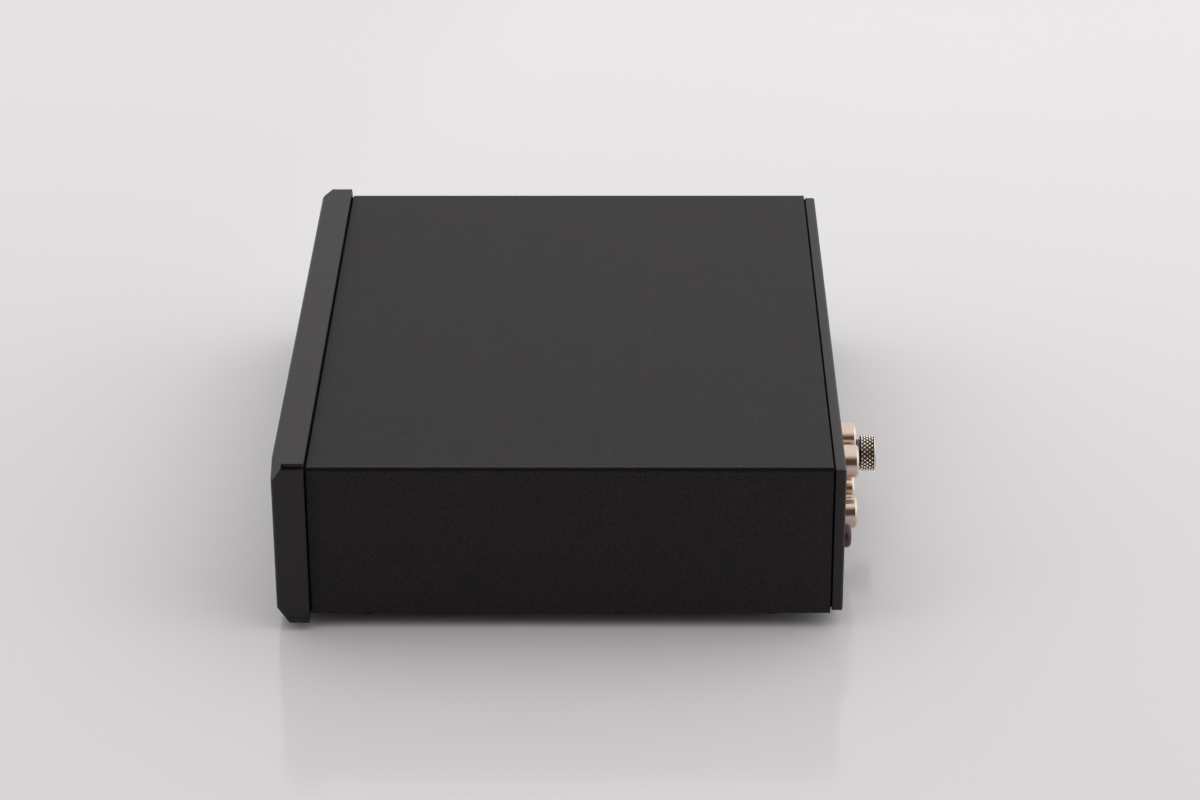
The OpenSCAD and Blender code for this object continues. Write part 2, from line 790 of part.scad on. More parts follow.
module ground_lug() {
    tongue_w = 3;
    color(zinc) difference() {
        union() {
            bar_y(ground_x, ground_z, wall_inside_y - lug_t, wall_inside_y, ground_nut_d);
            box([ground_x - lug_l, wall_inside_y - lug_t, ground_z - tongue_w / 2],
                [ground_x, wall_inside_y, ground_z + tongue_w / 2]);
        }
        bar_y(ground_x, ground_z, wall_inside_y - lug_t - past, wall_inside_y + past,
              thread_d + 2 * thread_play);
    }
}

// Wire from the solder lug, forwards and down to the board
module ground_wire() {
    bend_r = 3;
    wire_x = ground_x - lug_l + wire_d;
    start_y = wall_inside_y - lug_t;
    bend_y = start_y - 2;
    color([0.15, 0.45, 0.2]) union() {
        bar_y(wire_x, ground_z, bend_y, start_y, wire_d);
        translate([wire_x, bend_y, ground_z - bend_r]) rotate([90, 0, -90]) rotate_extrude(angle = 90)
            translate([bend_r, 0]) circle(d = wire_d);
        translate([wire_x, bend_y - bend_r, board_top])
            cylinder(h = ground_z - bend_r - board_top, d = wire_d);
    }
}

// ---- Power inlet, mode switch and indicator ----

module power_inlet() {
    color(plastic_black) difference() {
        union() {
            box([inlet_x - inlet_w / 2, wall_inside_y - inlet_l, board_top],
                [inlet_x + inlet_w / 2, wall_inside_y, inlet_z + inlet_w / 2]);
            bar_y(inlet_x, inlet_z, wall_inside_y - eps, flush_y, inlet_nose_d);
        }
        bar_y(inlet_x, inlet_z, flush_y - inlet_depth, flush_y + past, inlet_bore);
    }
}

module power_pin() {
    color(zinc) bar_y(inlet_x, inlet_z, flush_y - inlet_depth, flush_y - pin_setback, pin_d);
}

module mode_switch() {
    y0 = wall_inside_y - switch_depth;
    pocket_y = wall_inside_y - switch_wall - slider_base_t - 2 * slider_play;
    pocket_x = slider_base_w / 2 + switch_travel / 2 + slider_play;
    pocket_z = slider_base_h / 2 + slider_play;
    color(zinc) difference() {
        box([switch_x - switch_w / 2, y0, board_top],
            [switch_x + switch_w / 2, wall_inside_y, switch_z + switch_h / 2]);
        box([switch_x - pocket_x, pocket_y, switch_z - pocket_z],
            [switch_x + pocket_x, wall_inside_y - switch_wall, switch_z + pocket_z]);
        box([switch_x - slot_w / 2, pocket_y, switch_z - slot_h / 2],
            [switch_x + slot_w / 2, wall_inside_y + past, switch_z + slot_h / 2]);
    }
}

// The slider rests at the left end of its travel, seen from the front
module mode_slider() {
    base_y = wall_inside_y - switch_wall - slider_play - slider_base_t;
    x = switch_x - switch_travel / 2;
    color(plastic_black) {
        box([x - slider_base_w / 2, base_y, switch_z - slider_base_h / 2],
            [x + slider_base_w / 2, base_y + slider_base_t, switch_z + slider_base_h / 2]);
        box([x - slider_w / 2, base_y + eps, switch_z - slider_h / 2],
            [x + slider_w / 2, flush_y, switch_z + slider_h / 2]);
    }
}

module light_guide() {
    color([0.85, 0.9, 0.95]) union() {
        bar_y(0, mid_z, front_y, guide_end_y, guide_d);
        bar_y(0, mid_z, guide_end_y - guide_flange_t, guide_end_y, guide_flange_d);
    }
}

module power_led() {
    flange_t = 0.8;
    flange_rim = 0.4;
    lead_pitch = 1.27;
    body_end_y = lamp_y + lamp_l;
    lead_y = board_y0 + lead_edge;
    color([0.7, 0.8, 1]) union() {
        bar_y(0, mid_z, lamp_y, body_end_y + eps, lamp_d);
        bar_y(0, mid_z, body_end_y, body_end_y + flange_t, lamp_d + 2 * flange_rim);
        for (side = [-1, 1]) {
            x = side * lead_pitch / 2;
            box([x - lead_w / 2, body_end_y, mid_z - lead_w / 2],
                [x + lead_w / 2, lead_y + lead_w, mid_z + lead_w / 2]);
            box([x - lead_w / 2, lead_y, board_top], [x + lead_w / 2, lead_y + lead_w, mid_z]);
        }
    }
}

// ---- Parts on the board ----

// Op amp with eight legs
module op_amp(x, y) {
    amp_w = 9.4;
    amp_d = 6.4;
    amp_h = 3.4;
    amp_lift = 0.7;
    amp_span = 7.8;
    leg_pitch = 2.54;
    leg_t = 0.3;
    body_z = board_top + amp_lift;
    leg_h = amp_lift + amp_h / 2;
    translate([x, y, 0]) union() {
        box([-amp_w / 2, -amp_d / 2, body_z], [amp_w / 2, amp_d / 2, body_z + amp_h]);
        for (i = [-1.5 : 1.5]) translate([i * leg_pitch, 0, board_top]) rotate([90, 0, 90])
            linear_extrude(lead_w, center = true) difference() {
                translate([-amp_span / 2, 0]) square([amp_span, leg_h]);
                translate([leg_t - amp_span / 2, -past]) square([amp_span - 2 * leg_t, leg_h - leg_t + past]);
            }
    }
}

module op_amps() {
    color(plastic_black) for (x = channel_xs, y = [amp_y, amp_y - amp_row])
        op_amp(x, y);
}

// Can of an electrolytic capacitor, with the groove near its foot
module electrolytic(x, y, d, h) {
    groove_z = 1.6;
    groove_h = 0.7;
    groove_t = 0.35;
    edge = 0.4;
    translate([x, y, board_top]) rotate_extrude() polygon([
        [0, 0],
        [d / 2, 0],
        [d / 2, groove_z],
        [d / 2 - groove_t, groove_z + groove_h / 2],
        [d / 2, groove_z + groove_h],
        [d / 2, h - edge],
        [d / 2 - edge, h],
        [0, h]
    ]);
}

module electrolytic_caps() {
    color([0.1, 0.13, 0.3]) {
        for (i = [0 : 2]) {
            electrolytic(supply_x + i * supply_pitch, supply_y, supply_can_d, supply_can_h);
            electrolytic(supply_x + i * supply_pitch, supply_y - supply_row, filter_can_d, filter_can_h);
        }
        for (x = channel_xs)
            electrolytic(x, amp_y - amp_row / 2, channel_can_d, channel_can_h);
    }
}

module film_caps() {
    color([0.65, 0.12, 0.1]) for (x = channel_xs, i = [0 : 3])
        translate([x - film_l / 2, film_y - i * film_pitch, board_top]) cube([film_l, film_w, film_h]);
}

// Resistor lying along X on bent leads
module resistor(x, y) {
    body_d = 2.3;
    body_l = 6;
    lead_span = 10;
    cap_d = 2.7;
    cap_l = 1.4;
    z = board_top + body_d / 2 + 0.4;
    translate([x, y, 0]) union() {
        translate([-body_l / 2, 0, z]) rotate([0, 90, 0]) cylinder(h = body_l, d = body_d);
        for (side = [-1, 1]) {
            translate([side * (body_l - cap_l) / 2, 0, z]) rotate([0, 90, 0])
                cylinder(h = cap_l, d = cap_d, center = true);
            translate([side * lead_span / 2 - lead_w / 2, -lead_w / 2, board_top])
                cube([lead_w, lead_w, z + lead_w / 2 - board_top]);
        }
        translate([-lead_span / 2, -lead_w / 2, z - lead_w / 2]) cube([lead_span, lead_w, lead_w]);
    }
}

module resistors() {
    color([0.25, 0.45, 0.6]) for (x = channel_xs, i = [0 : 5])
        resistor(x - resistor_side, amp_y - i * resistor_pitch);
}

// Three-legged regulator standing on its legs, with a tab that has a hole
module voltage_regulator() {
    x = supply_x + 2 * supply_pitch;
    y = choke_y;
    body = [regulator_w, regulator_t, regulator_h];
    tab = [regulator_w, tab_t, tab_h];
    body_z = board_top + regulator_leg_h;
    leg = [0.8, 0.5];
    color([0.12, 0.12, 0.12]) difference() {
        union() {
            translate([x - body.x / 2, y, body_z]) cube(body);
            translate([x - tab.x / 2, y, body_z + body.z - eps]) cube(tab);
            for (i = [-1 : 1])
                translate([x + i * regulator_leg_pitch - leg.x / 2, y + body.y / 2, board_top])
                    cube([leg.x, leg.y, regulator_leg_h + eps]);
        }
        bar_y(x, body_z + body.z + tab.z / 2, y - past, y + tab.y + past, tab_hole_d);
    }
}

// Drum cores with a winding between two rims
module power_chokes() {
    drum_d = 8;
    waist_d = 6.8;
    drum_h = 9;
    rim_t = 1.2;
    color([0.3, 0.2, 0.12]) for (i = [0, 1])
        translate([supply_x + i * supply_pitch, choke_y, board_top]) union() {
            cylinder(h = drum_h, d = waist_d);
            for (z = [0, drum_h - rim_t])
                translate([0, 0, z]) cylinder(h = rim_t, d = drum_d);
        }
}

front_panel();
top_cover();
chassis();
rear_panel();
front_nuts();
rear_screws();
clinch_nuts();
cover_screws();
feet();
circuit_board();
board_standoffs();
board_screws();
socket_block();
input_left_shell();
input_right_shell();
output_left_shell();
output_right_shell();
left_insulators();
right_insulators();
socket_contacts();
ground_post();
ground_spacer();
ground_washer();
ground_knob();
ground_nut();
ground_lug();
ground_wire();
power_inlet();
power_pin();
mode_switch();
mode_slider();
light_guide();
power_led();
op_amps();
electrolytic_caps();
film_caps();
resistors();
voltage_regulator();
power_chokes();
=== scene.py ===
# %% [markdown]
# # A phono preamplifier in a folded steel case
#
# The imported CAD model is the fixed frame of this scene: every sheet, screw, socket and part on
# the board is already in place at its real size. This lesson gives each of them its finish, and
# rebuilds the few pieces whose surface is worked too finely for the solids: the folded sheets
# with their softened edges, the cross-headed screws, the threaded post and the knurled thumb nut.

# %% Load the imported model
import json
import math

import bmesh
import bpy
from mathutils import Matrix, Vector

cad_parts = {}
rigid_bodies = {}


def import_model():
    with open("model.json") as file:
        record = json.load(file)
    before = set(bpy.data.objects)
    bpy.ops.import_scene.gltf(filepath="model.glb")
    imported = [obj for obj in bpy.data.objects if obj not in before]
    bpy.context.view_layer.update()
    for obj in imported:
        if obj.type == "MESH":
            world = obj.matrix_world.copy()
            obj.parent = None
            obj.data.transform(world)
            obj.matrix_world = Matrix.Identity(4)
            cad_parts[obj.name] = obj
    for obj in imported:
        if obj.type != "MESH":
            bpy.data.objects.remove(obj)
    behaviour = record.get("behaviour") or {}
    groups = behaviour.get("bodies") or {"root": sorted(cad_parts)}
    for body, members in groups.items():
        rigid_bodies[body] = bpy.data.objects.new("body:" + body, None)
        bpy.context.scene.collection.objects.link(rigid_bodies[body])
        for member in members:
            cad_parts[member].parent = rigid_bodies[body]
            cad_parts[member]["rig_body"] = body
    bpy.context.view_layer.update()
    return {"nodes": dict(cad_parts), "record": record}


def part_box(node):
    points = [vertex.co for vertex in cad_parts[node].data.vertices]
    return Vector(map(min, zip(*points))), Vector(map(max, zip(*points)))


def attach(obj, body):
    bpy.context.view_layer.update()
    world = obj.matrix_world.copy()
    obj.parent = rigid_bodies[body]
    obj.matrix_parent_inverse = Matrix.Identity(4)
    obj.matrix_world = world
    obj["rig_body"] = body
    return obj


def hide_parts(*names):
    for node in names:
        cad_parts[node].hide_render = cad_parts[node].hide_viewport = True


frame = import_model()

nodes = frame["nodes"]
mm = 0.001

# %% [markdown]
# ## Camera
#
# The picture is taken with a long lens from the right-hand side of the case, about 26 degrees
# above the table, so the near side shows as a low strip and the top as a deep trapezium. A long
# lens keeps the case's upright edges nearly parallel. Its place and turn are given as a position
# and three angles, and the matrix is built from the forward, right and up directions.

# %% Camera
PHOTO_WIDTH = 1200
FOCAL_LENGTH_PIXELS = 3534.3
SENSOR_WIDTH = 36
CAMERA_PLACE = Vector((0.8312, 0.01115, 0.4331))
LOOK_DOWN = math.radians(26.383)
LOOK_ASIDE = math.radians(-0.511)
ROLL = math.radians(-0.215)


def new_object(name, data):
    """An object with this data, linked to the scene."""
    made = bpy.data.objects.new(name, data)
    bpy.context.scene.collection.objects.link(made)
    return made


def camera_turn(down, aside, roll):
    """The camera's rotation: a matrix whose columns point right, up and backward."""
    forward = Vector((
        -math.cos(down) * math.cos(aside), math.cos(down) * math.sin(aside), -math.sin(down)))
    level = forward.cross(Vector((0, 0, 1))).normalized()
    upright = level.cross(forward)
    right = level * math.cos(roll) + upright * math.sin(roll)
    up = upright * math.cos(roll) - level * math.sin(roll)
    return Matrix((right, up, -forward)).transposed().to_4x4()


camera = new_object("camera", bpy.data.cameras.new("camera"))
camera.data.sensor_width = SENSOR_WIDTH
camera.data.lens = FOCAL_LENGTH_PIXELS / PHOTO_WIDTH * SENSOR_WIDTH
camera.matrix_world = Matrix.Translation(CAMERA_PLACE) @ camera_turn(LOOK_DOWN, LOOK_ASIDE, ROLL)
bpy.context.scene.camera = camera
bpy.context.scene.view_settings.view_transform = "Standard"
print("lens in mm:", round(camera.data.lens, 2))

# %% [markdown]
# ## Formulas that grow nodes
#
# A finish is mostly arithmetic on noise: where the coat is thicker, how rough it is there, which
# grains catch the light. Wiring that by hand takes many small nodes. The class below wraps one
# output socket, so that `0.5 + 0.1 * grain` adds its Math nodes by itself. The same class works
# in materials and in Geometry Nodes, because both use the same Math node.


# %% Formulas on sockets
class Term:
    """One output of a node, ready to be used in a formula."""

    def __init__(self, recipe, socket):
        self.recipe = recipe
        self.socket = socket

    def maths(self, operation, *others):
        inputs = dict(enumerate((self, *others)))
        return self.recipe.node("ShaderNodeMath", {"operation": operation}, inputs)

    def clamped(self):
        """The same value, held between 0 and 1."""
        return self.maths("MINIMUM", 1).maths("MAXIMUM", 0)

    def ramp(self, start, length):
        """0 up to start, and then a rise to 1 over length."""
        return ((self - start) / length).clamped()

    def __add__(self, other):
        return self.maths("ADD", other)

    def __sub__(self, other):
        return self.maths("SUBTRACT", other)

    def __rsub__(self, other):
        return (self * -1) + other

    def __mul__(self, other):
        return self.maths("MULTIPLY", other)

    def __truediv__(self, other):
        return self.maths("DIVIDE", other)

    def __gt__(self, other):
        return self.maths("GREATER_THAN", other)

    def __lt__(self, other):
        return self.maths("LESS_THAN", other)

    def __pow__(self, other):
        return self.maths("POWER", other)

    __radd__ = __add__
    __rmul__ = __mul__


# %% A node tree written one node at a time
def opaque(shade):
    """A shade with its alpha, or a colour's Term as it is."""
    return shade if isinstance(shade, Term) else (*shade, 1)


class Recipe:
    """A node tree that is written one node at a time."""

    def __init__(self, tree):
        self.tree = tree

    def feed(self, socket, value):
        if isinstance(value, Term):
            self.tree.links.new(value.socket, socket)
        else:
            socket.default_value = value

    def node(self, kind, settings=None, inputs=None, output=0):
        made = self.tree.nodes.new(kind)
        for name, value in (settings or {}).items():
            setattr(made, name, value)
        for name, value in (inputs or {}).items():
            self.feed(made.inputs[name], value)
        return Term(self, made.outputs[output])

    def apart(self, vector):
        """A vector's three numbers."""
        split = self.node("ShaderNodeSeparateXYZ", inputs={0: vector}).socket.node
        return [Term(self, output) for output in split.outputs]

    def noise(self, place, size, detail=2.0, roughness=0.5):
        """Soft noise from 0 to 1 whose lumps are about size across, in metres."""
        return self.node("ShaderNodeTexNoise", inputs={
            "Vector": place, "Scale": 1 / size, "Detail": detail, "Roughness": roughness})

    def between(self, factor, low, high):
        """A colour between two colours."""
        inputs = {0: factor, 6: opaque(low), 7: opaque(high)}
        return self.node("ShaderNodeMix", {"data_type": "RGBA"}, inputs, output=2)

    def bump(self, height, depth):
        """The normal of a surface that rises by depth, in metres, where height is 1."""
        return self.node("ShaderNodeBump", inputs={
            "Height": height, "Distance": depth, "Strength": 1.0})


# %% Helpers for finishes
def new_finish(name):
    """A material with its recipe, its shader and the place on the piece as a vector."""
    material = bpy.data.materials.new(name)
    material.use_nodes = True
    recipe = Recipe(material.node_tree)
    shader = material.node_tree.nodes["Principled BSDF"]
    place = recipe.node("ShaderNodeTexCoord", output="Object")
    return material, recipe, shader, place


def set_shader(recipe, shader, **values):
    """Sets or links the shader's inputs, whose names are written with underscores."""
    for name, value in values.items():
        label = name.replace("_", " ").title().replace("Ior", "IOR")
        recipe.feed(shader.inputs[label], value)


def brighter(shade, factor):
    return tuple(min(channel * factor, 1.0) for channel in shade)


# %% [markdown]
# ## Dark seams
#
# Where two sheets meet, the real case shows a thin black line, because hardly any light comes
# back out of the gap. The gap in the solids renders paler than that. A wider gap would be
# darker, but the solids are the measured part and stay as they are. So the finish itself turns
# nearly black on a strip along each seam, a third of a millimetre wide or less: a mask, made
# from the place of the point, mixes the coat's shader with a black one.

# %% Seams
SEAM = 0.35 * mm
SEAM_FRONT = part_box("front_panel")[1].y
SEAM_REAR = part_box("rear_panel")[0].y
SEAM_BLACK = (0.002, 0.002, 0.002)
SEAM_DARKNESS = 0.93


def shadow_lines(recipe, shader, mask):
    """Paints shade on a narrow strip, where mask is 1, so that it swallows the light as a real gap
    does.
    """
    dark = recipe.node("ShaderNodeBsdfDiffuse", inputs={"Color": opaque(SEAM_BLACK)})
    own = Term(recipe, shader.outputs["BSDF"])
    mixed = recipe.node("ShaderNodeMixShader", inputs={0: mask, 1: own, 2: dark})
    recipe.tree.links.new(mixed.socket, recipe.tree.nodes["Material Output"].inputs["Surface"])


print("seams at y in mm:", round(SEAM_FRONT / mm, 2), round(SEAM_REAR / mm, 2))

# %% [markdown]
# ## Powder coat
#
# The case is steel sheet with a baked powder coat. The cover has the fine-textured kind: the
# powder shrinks into grains less than half a millimetre across, which scatter light, and a
# grain here and there lies flat and sparkles. The front and rear panels have the smooth satin
# kind, with only the faint waviness that every powder coat has. Both are made of noises: slow
# ones for the coat's thickness and fine ones for its grain, with cells for the sparkle.

# %% Fine-textured powder coat
COAT_GRAIN = 0.4 * mm
COAT_DRIFT = 9 * mm
COAT_DEPTH = 0.17 * mm
CREST_START = 0.44
CREST_SLOPE = 7
SPARKLE_CELL = 0.8 * mm
SPARKLE_RADIUS = 0.16        # as a share of a cell
SPARKLE_RARITY = 0.975       # the share of cells without one
SPARKLE_PAINTED_GLINT = (0.3, 0.28, 0.27)
BEND_REACH = 1.4 * mm

cover_low, cover_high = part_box("top_cover")


def textured_coat(name, shade):
    material, recipe, shader, place = new_finish(name)
    x, y, z = recipe.apart(place)
    aside = x.maths("ABSOLUTE")
    grain = recipe.noise(place, COAT_GRAIN, detail=3.0, roughness=0.65)
    drift = recipe.noise(place, COAT_DRIFT, detail=3.0)
    cells = {"Vector": place, "Scale": 1 / SPARKLE_CELL}
    spot = recipe.node("ShaderNodeTexVoronoi", inputs=cells, output="Distance")
    chance = recipe.apart(recipe.node("ShaderNodeTexVoronoi", inputs=cells, output="Color"))[0]
    sparkle = (spot < SPARKLE_RADIUS) * (chance > SPARKLE_RARITY)
    crest = ((grain - CREST_START) * CREST_SLOPE).clamped()
    colour = recipe.between(
        0.25 * drift + 0.75 * crest, brighter(shade, 0.1), brighter(shade, 2.0))
    # The coat is drawn smooth over the bends.
    bend = (aside > cover_high.x - BEND_REACH) * (z > cover_high.z - BEND_REACH)
    # The sparkling grains are also painted lighter in the base colour: a painted glint, added to
    # their real lower roughness.
    set_shader(
        recipe, shader,
        base_color=recipe.between(sparkle * 0.35, colour, SPARKLE_PAINTED_GLINT),
        roughness=0.36 + 0.36 * grain - 0.15 * sparkle - 0.1 * bend,
        specular_ior_level=0.25,
        normal=recipe.bump(grain * (1 - bend), COAT_DEPTH),
    )
    # Painted shade: nearly black strips along the seams at the cover's ends, a half-dark strip
    # along its bottom edge, and a dark line along the top fold.
    ends = (y > cover_high.y - 0.3 * SEAM) + (y < SEAM_FRONT + SEAM)
    foot = (z < cover_low.z + 1.5 * SEAM) * 0.5
    painted_shade_on_fold = (aside > cover_high.x - 2.6 * SEAM) * (z > cover_high.z - 1.5 * SEAM) * 0.7
    shadow_lines(recipe, shader, (ends + foot + painted_shade_on_fold).maths("MINIMUM", SEAM_DARKNESS))
    return material


# %% Satin powder coat
def satin_coat(name, shade):
    material, recipe, shader, place = new_finish(name)
    grain = recipe.noise(place, size=0.18 * mm)
    wave = recipe.noise(place, size=1.6 * mm)
    drift = recipe.noise(place, size=14 * mm)
    set_shader(
        recipe, shader,
        base_color=recipe.between(
            0.5 * drift + 0.5 * grain, brighter(shade, 0.8), brighter(shade, 1.25)),
        roughness=0.4 + 0.08 * wave + 0.05 * grain,
        specular_ior_level=0.38,
        normal=recipe.bump(0.6 * wave + 0.4 * grain, 0.008 * mm),
    )
    y = recipe.apart(place)[1]
    rear_seam = (y > SEAM_REAR - SEAM) * (y < SEAM_REAR + 0.4 * SEAM)
    shadow_lines(recipe, shader, rear_seam * SEAM_DARKNESS)
    return material


# %% [markdown]
# ## Plated metal
#
# The sockets' shells are turned brass with a pale gold plating, and the thumb nut is nickel
# plated. A lathe leaves rings round the axis, so the roughness follows a noise that is stretched
# round the piece: it changes quickly along the axis and slowly across it. Inner steel parts are
# zinc plated, which shows soft cloudy patches instead of rings.


# %% Turned and knurled plating
def turned_plating(name, shade, roughness):
    material, recipe, shader, place = new_finish(name)
    x, y, z = recipe.apart(place)
    along = recipe.node("ShaderNodeCombineXYZ", inputs={0: x * 0.04, 1: y, 2: z * 0.04})
    rings = recipe.noise(along, size=0.09 * mm)
    film = recipe.noise(place, size=2.2 * mm, detail=3.0)
    set_shader(
        recipe, shader,
        base_color=recipe.between(film, brighter(shade, 0.86), brighter(shade, 1.08)),
        metallic=1.0,
        roughness=roughness + 0.1 * rings + 0.06 * film,
        normal=recipe.bump(rings, 0.002 * mm),
    )
    return material


GROOVE_PAINTED_SHADE = (0.02, 0.013, 0.01)


def knurled_plating(name, shade, roughness, axis, radius, depth):
    """Plating whose grooves, nearer to the axis, are painted dark: painted shade in the knurl's
    recesses.
    """
    material, recipe, shader, place = new_finish(name)
    x, _, z = recipe.apart(place)
    from_axis = ((x - axis[0]) ** 2 + (z - axis[1]) ** 2).maths("SQRT")
    # Painted shade: the colour darkens towards the bottom of each groove.
    ungrooved = ((from_axis - (radius - depth)) / depth * 3 - 1.0).clamped()
    end_or_bore = from_axis < radius - 1.05 * depth
    ungrooved = ungrooved.maths("MAXIMUM", end_or_bore)
    film = recipe.noise(place, size=0.8 * mm, detail=3.0)
    set_shader(
        recipe, shader,
        base_color=recipe.between(ungrooved, GROOVE_PAINTED_SHADE, brighter(shade, 1.1)),
        metallic=1.0,
        roughness=roughness + 0.1 * film + 0.25 * (1 - ungrooved),
        normal=recipe.bump(film, 0.002 * mm),
    )
    return material


# %% Zinc and dark plating
def zinc_plating(name, shade):
    material, recipe, shader, place = new_finish(name)
    cloud = recipe.noise(place, size=6 * mm, detail=4.0)
    grain = recipe.noise(place, size=0.3 * mm)
    set_shader(
        recipe, shader,
        base_color=recipe.between(cloud, brighter(shade, 0.8), brighter(shade, 1.15)),
        metallic=1.0,
        roughness=0.3 + 0.18 * cloud + 0.06 * grain,
        normal=recipe.bump(grain, 0.004 * mm),
    )
    return material


def dark_plating(name, shade):
    material, recipe, shader, place = new_finish(name)
    film = recipe.noise(place, size=1.1 * mm, detail=3.0)
    grain = recipe.noise(place, size=0.12 * mm)
    set_shader(
        recipe, shader,
        base_color=recipe.between(film, brighter(shade, 0.7), brighter(shade, 1.5)),
        metallic=0.75,
        roughness=0.34 + 0.12 * film,
        normal=recipe.bump(grain, 0.003 * mm),
    )
    return material


# %% [markdown]
# ## Plastics, rubber and board
#
# Moulded plastic takes the fine sparked texture of its mould, rubber is duller and blotchy from
# handling, and the circuit board is glass-fibre laminate under a green solder mask, with its
# copper tracks showing through as paler lines.


# %% Plastics and rubber
def moulded_plastic(name, shade, roughness, texture=0.006 * mm, variation=0.12):
    material, recipe, shader, place = new_finish(name)
    spark = recipe.noise(place, size=0.16 * mm, detail=3.0)
    flow = recipe.noise(place, size=4 * mm)
    low, high = brighter(shade, 1 - variation), brighter(shade, 1 + variation)
    set_shader(
        recipe, shader,
        base_color=recipe.between(flow, low, high),
        roughness=roughness + 0.08 * flow + 0.05 * spark,
        normal=recipe.bump(spark, texture),
    )
    return material


def clear_plastic(name, shade, roughness):
    material, recipe, shader, place = new_finish(name)
    flow = recipe.noise(place, size=1.5 * mm)
    set_shader(
        recipe, shader,
        base_color=recipe.between(flow, brighter(shade, 0.92), brighter(shade, 1.05)),
        roughness=roughness + 0.05 * flow,
        transmission_weight=0.6,
        ior=1.49,
    )
    return material


# %% Circuit board
TRACK_SPACING = 1.9 * mm
TRACK_SHARE = 0.3           # of the spacing
LANE = 11 * mm              # size of the patches with and without tracks


def solder_mask(name, shade):
    material, recipe, shader, place = new_finish(name)
    track = (recipe.apart(place)[0] * (1 / TRACK_SPACING)).maths("FRACT")
    lane = recipe.noise(place, LANE, detail=0.0)
    copper = (track < TRACK_SHARE) * (lane > 0.46)
    weave = recipe.noise(place, size=0.5 * mm, detail=1.0)
    set_shader(
        recipe, shader,
        base_color=recipe.between(
            0.25 * weave + 0.6 * copper, brighter(shade, 0.8), brighter(shade, 1.9)),
        roughness=0.34 + 0.1 * weave,
        normal=recipe.bump(copper, 0.02 * mm),
    )
    return material


# %% The finish of each material slot
finishes = {
    "satin_steel": satin_coat("satin_steel", (0.0145, 0.0108, 0.0118)),
    "textured_steel": textured_coat("textured_steel", (0.0125, 0.0092, 0.0104)),
    "zinc_steel": zinc_plating("zinc_steel", (0.62, 0.61, 0.58)),
    "black_screw": dark_plating("black_screw", (0.075, 0.045, 0.055)),
    "foot_rubber": moulded_plastic(
        "foot_rubber", (0.016, 0.016, 0.016), 0.7, texture=0.02 * mm, variation=0.3),
    "board_laminate": solder_mask("board_laminate", (0.02, 0.1, 0.045)),
    "black_plastic": moulded_plastic("black_plastic", (0.022, 0.022, 0.023), 0.42),
    "gold_plating": turned_plating("gold_plating", (0.69, 0.565, 0.46), 0.1),
    "white_plastic": moulded_plastic("white_plastic", (0.78, 0.77, 0.74), 0.36, variation=0.04),
    "red_plastic": moulded_plastic("red_plastic", (0.55, 0.03, 0.03), 0.36, variation=0.08),
    "nickel_brass": turned_plating("nickel_brass", (0.68, 0.60, 0.52), 0.22),
    "wire_sleeve": moulded_plastic("wire_sleeve", (0.04, 0.22, 0.06), 0.45),
    "clear_plastic": clear_plastic("clear_plastic", (0.86, 0.89, 0.93), 0.08),
    "led_lens": clear_plastic("led_lens", (0.55, 0.68, 0.95), 0.12),
    "can_sleeve": moulded_plastic("can_sleeve", (0.02, 0.03, 0.12), 0.3),
    "film_case": moulded_plastic("film_case", (0.5, 0.05, 0.03), 0.32),
    "resistor_coat": moulded_plastic("resistor_coat", (0.12, 0.3, 0.5), 0.35),
    "choke_ferrite": moulded_plastic("choke_ferrite", (0.07, 0.05, 0.035), 0.5, variation=0.3),
}
# A dark nickel plating for the threaded post and its washer.
dark_nickel = dark_plating("dark_nickel", (0.10, 0.098, 0.105))
# The chassis gets a nearly black satin, darker than the other sheets: painted shade in the seams,
# where its edges show.
seam_shade_satin = satin_coat("seam_shade_satin", (0.004, 0.0035, 0.0037))
slot_of = {part["node"]: part["material_slot"] for part in frame["record"]["subparts"]}
for name, part in nodes.items():
    part.material_slots[0].material = finishes[slot_of[name]]
nodes["ground_washer"].material_slots[0].material = dark_nickel
nodes["chassis"].material_slots[0].material = seam_shade_satin
print("finishes:", len(finishes))

# %% [markdown]
# ## Softened sheet edges
#
# A powder coat creeps round every cut edge, so no edge of the real case is sharp: each one shows
# a thin line of light. The solids keep their edges sharp, because the fits depend on them. So a
# copy of each sheet is merged, its flat faces are joined, and the Bevel modifier rounds every
# edge by a tenth or two of a millimetre. Smooth shading would then bend the light on the wide
# flats too, so a Weighted Normal modifier lets the largest face at each point have its way. The
# copy stands for the CAD node from then on. The sockets' shells get the same treatment.


# %% Helpers for finished pieces
def settle(piece):
    """Turns a piece's modifiers into plain mesh."""
    bpy.context.view_layer.update()
    graph = bpy.context.evaluated_depsgraph_get()
    mesh = bpy.data.meshes.new_from_object(piece.evaluated_get(graph))
    piece.modifiers.clear()
    piece.data = mesh


def smooth(piece, sharp_degrees):
    """Shades a piece smooth except over edges that turn by more than an angle."""
    piece.data.shade_smooth()
    piece.data.set_sharp_from_angle(angle=math.radians(sharp_degrees))


def hand_over(piece, node, finish=None):
    """The piece takes its body and finish from the node that it stands for."""
    piece.data.materials.clear()
    piece.data.materials.append(finish or finishes[slot_of[node]])
    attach(piece, nodes[node]["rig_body"])
    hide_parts(node)


# %% Softened copies of the folded sheets and turned shells
MERGE_DISTANCE = 0.001 * mm
FLAT_DEGREES = 0.5           # faces that differ by less are one flat face
BEVEL_DEGREES = 38           # edges that turn by more are rounded
SHELLS = ["input_left_shell", "input_right_shell", "output_left_shell", "output_right_shell"]
ROUNDING = {"front_panel": 0.2 * mm, "top_cover": 0.15 * mm, "rear_panel": 0.12 * mm,
            **dict.fromkeys(SHELLS, 0.07 * mm)}


